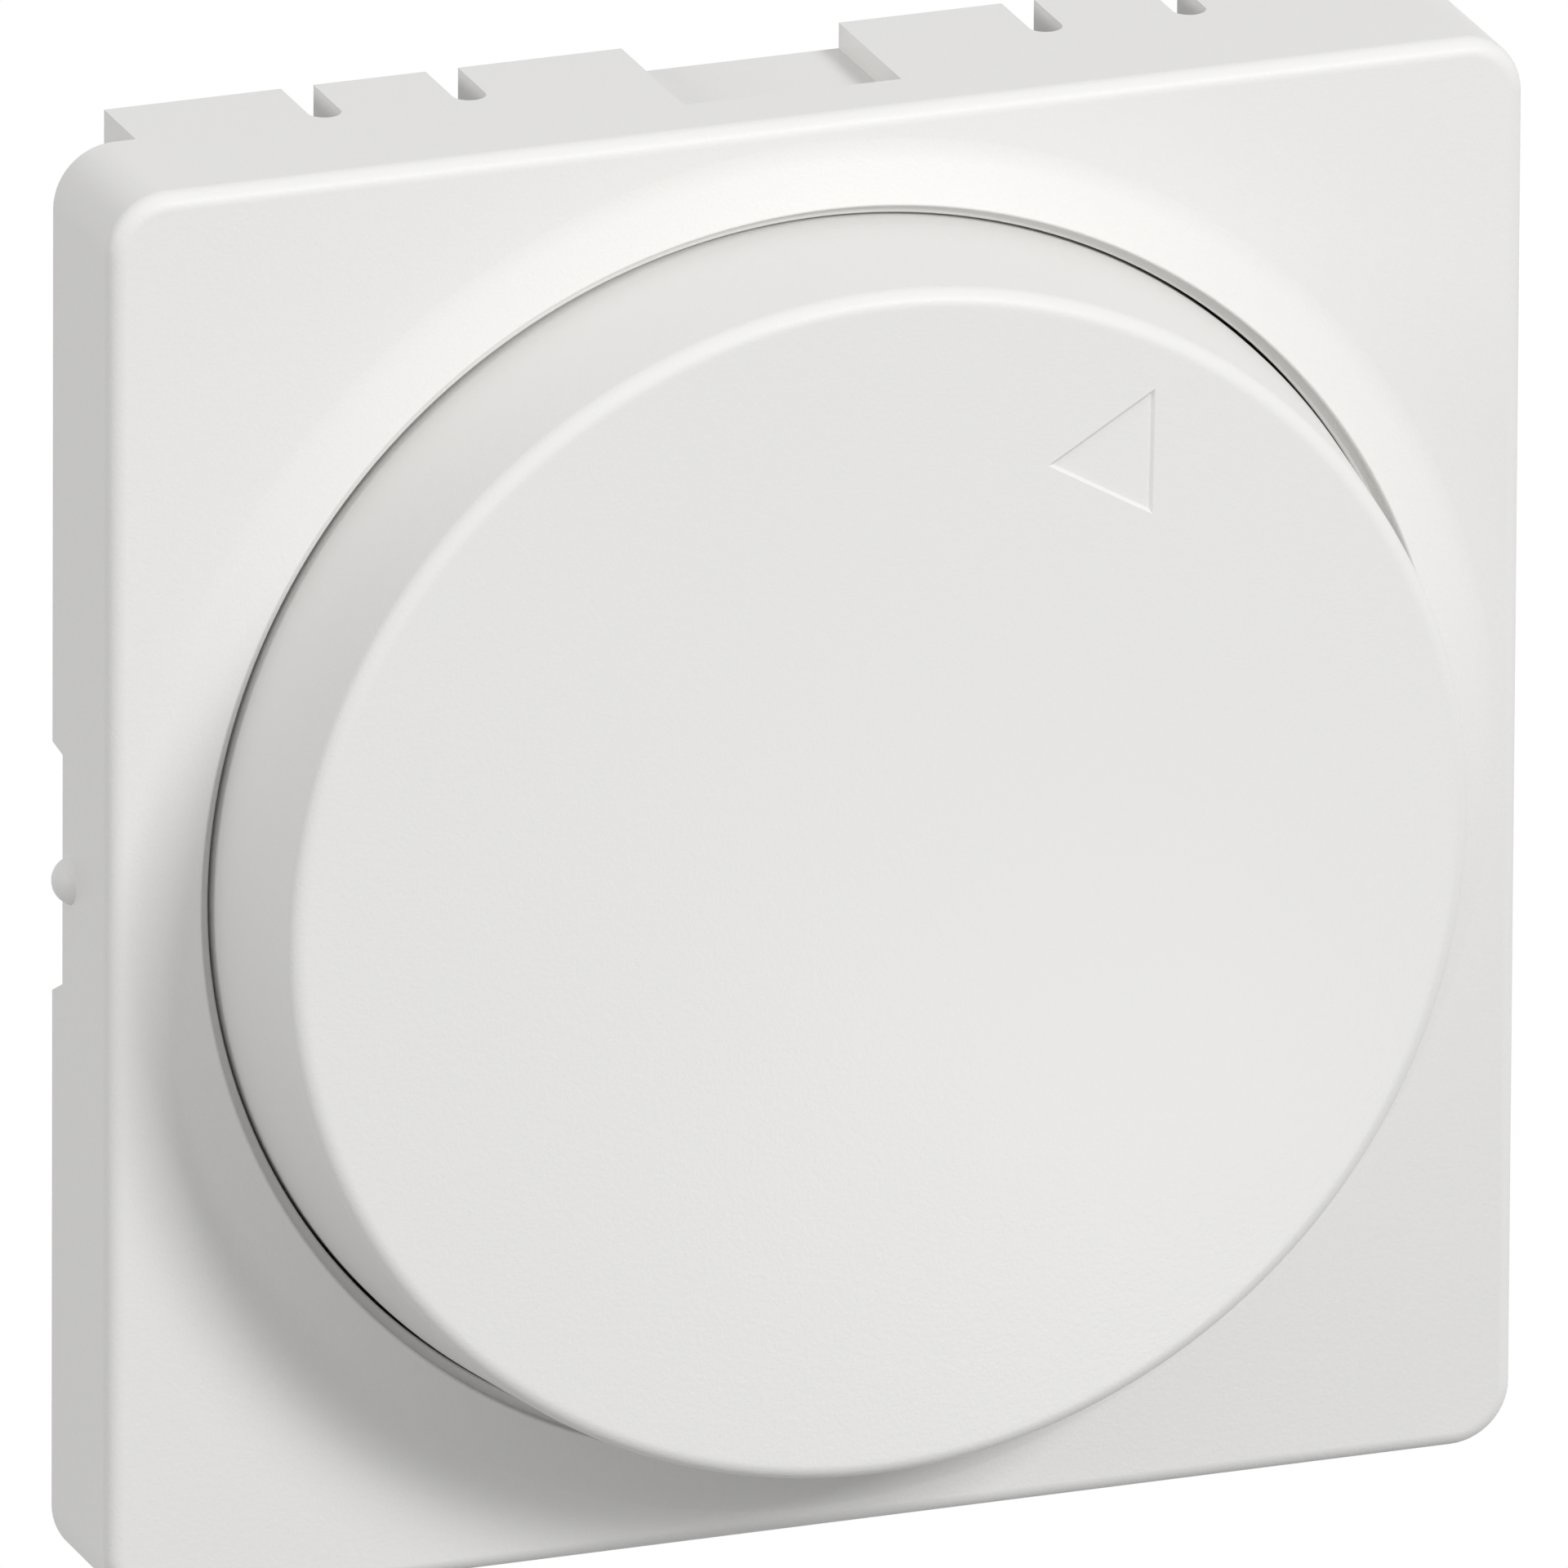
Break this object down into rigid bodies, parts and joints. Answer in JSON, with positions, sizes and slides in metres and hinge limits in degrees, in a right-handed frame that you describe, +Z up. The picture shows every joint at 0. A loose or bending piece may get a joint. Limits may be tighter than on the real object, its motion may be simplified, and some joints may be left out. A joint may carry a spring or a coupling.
{
  "type": "rotary dimmer switch",
  "caption": "Square wall plate with a large round knob on a push-and-turn dimmer insert with screw terminals behind.",
  "frame": {"origin": "on the knob's axis at the wall plane, the back face of the support plate", "axes": "+Y into the wall along the knob's axis, +Z up, the knob faces -Y"},
  "size_m": [0.051, 0.033, 0.05],
  "materials": {
    "white_cover": "gloss white",
    "white_knob": "gloss white",
    "spring_steel": "bright",
    "shaft_steel": "turned",
    "nut_brass": "plated",
    "zinc_steel": "zinc plated",
    "grey_housing": "satin",
    "screw_steel": "zinc plated",
    "board_green": "solder mask",
    "bushing_brass": "turned",
    "pot_black": "satin",
    "wafer_brown": "satin",
    "carbon": "matte",
    "rotor_grey": "satin",
    "contact_brass": "bright",
    "switch_black": "satin",
    "plunger_white": "satin",
    "epoxy_black": "matte",
    "pad_grey": "matte",
    "ferrite": "matte",
    "copper_wire": "enamelled",
    "film_yellow": "gloss",
    "film_red": "gloss",
    "resistor_blue": "gloss",
    "diac_blue": "gloss",
    "fuse_glass": "clear",
    "cap_nickel": "nickel plated",
    "block_grey": "satin",
    "clamp_brass": "bright",
    "trimmer_cream": "satin",
    "trimmer_blue": "satin"
  },
  "bodies": {
    "insert": {"cover_plate": "white_cover", "fixing_nut": "nut_brass", "lock_washer": "zinc_steel", "support_plate": "zinc_steel", "housing": "grey_housing", "housing_screws": "screw_steel", "circuit_board": "board_green", "pot_bushing": "bushing_brass", "pot_body": "pot_black", "track_wafer": "wafer_brown", "resistance_track": "carbon", "switch_body": "switch_black", "return_spring": "spring_steel", "fixed_contact": "contact_brass", "triac": "epoxy_black", "triac_pad": "pad_grey", "triac_screw": "screw_steel", "choke_core": "ferrite", "choke_winding": "copper_wire", "film_capacitor": "film_yellow", "timing_capacitor": "film_red", "resistors": "resistor_blue", "diac": "diac_blue", "fuse_tube": "fuse_glass", "fuse_caps": "cap_nickel", "fuse_clips": "contact_brass", "terminal_block": "block_grey", "terminal_clamps": "clamp_brass", "terminal_screws": "screw_steel", "trimmer_body": "trimmer_cream"},
    "rotor": {"pot_rotor": "rotor_grey", "pot_wiper": "contact_brass"},
    "knob": {"knob": "white_knob", "knob_clip": "spring_steel", "knob_shaft": "shaft_steel"},
    "plunger": {"switch_plunger": "plunger_white"},
    "moving_contact": {"contact_arm": "contact_brass"},
    "trimmer": {"trimmer_rotor": "trimmer_blue"}
  },
  "joints": [
    {"name": "knob_turn", "type": "hinge", "parent": "insert", "child": "rotor", "pos_m": [0, 0, 0], "axis": [0, 1, 0], "range_deg": [-180, 120]},
    {"name": "knob_press", "type": "slide", "parent": "rotor", "child": "knob", "axis": [0, 1, 0], "range_m": [0, 0.001], "stiffness_N_per_m": 4000, "springref_m": -0.0005},
    {"name": "switch_press", "type": "slide", "parent": "insert", "child": "plunger", "axis": [0, 1, 0], "range_m": [0, 0.001], "deforming": ["return_spring"]},
    {"name": "contact_tip", "type": "hinge", "parent": "insert", "child": "moving_contact", "pos_m": [0.0041, 0.0087, -0.004], "axis": [-1, 0, 0], "range_deg": [0, 15.5]},
    {"name": "trimmer_turn", "type": "hinge", "parent": "insert", "child": "trimmer", "pos_m": [-0.0113, 0.002, -0.003], "axis": [0, 1, 0], "range_deg": [-120, 120]}
  ],
  "couplings": [
    {"joint": "switch_press", "follows": "knob_press", "ratio": 1},
    {"joint": "contact_tip", "follows": "knob_press", "rad_per_m": 270}
  ]
}
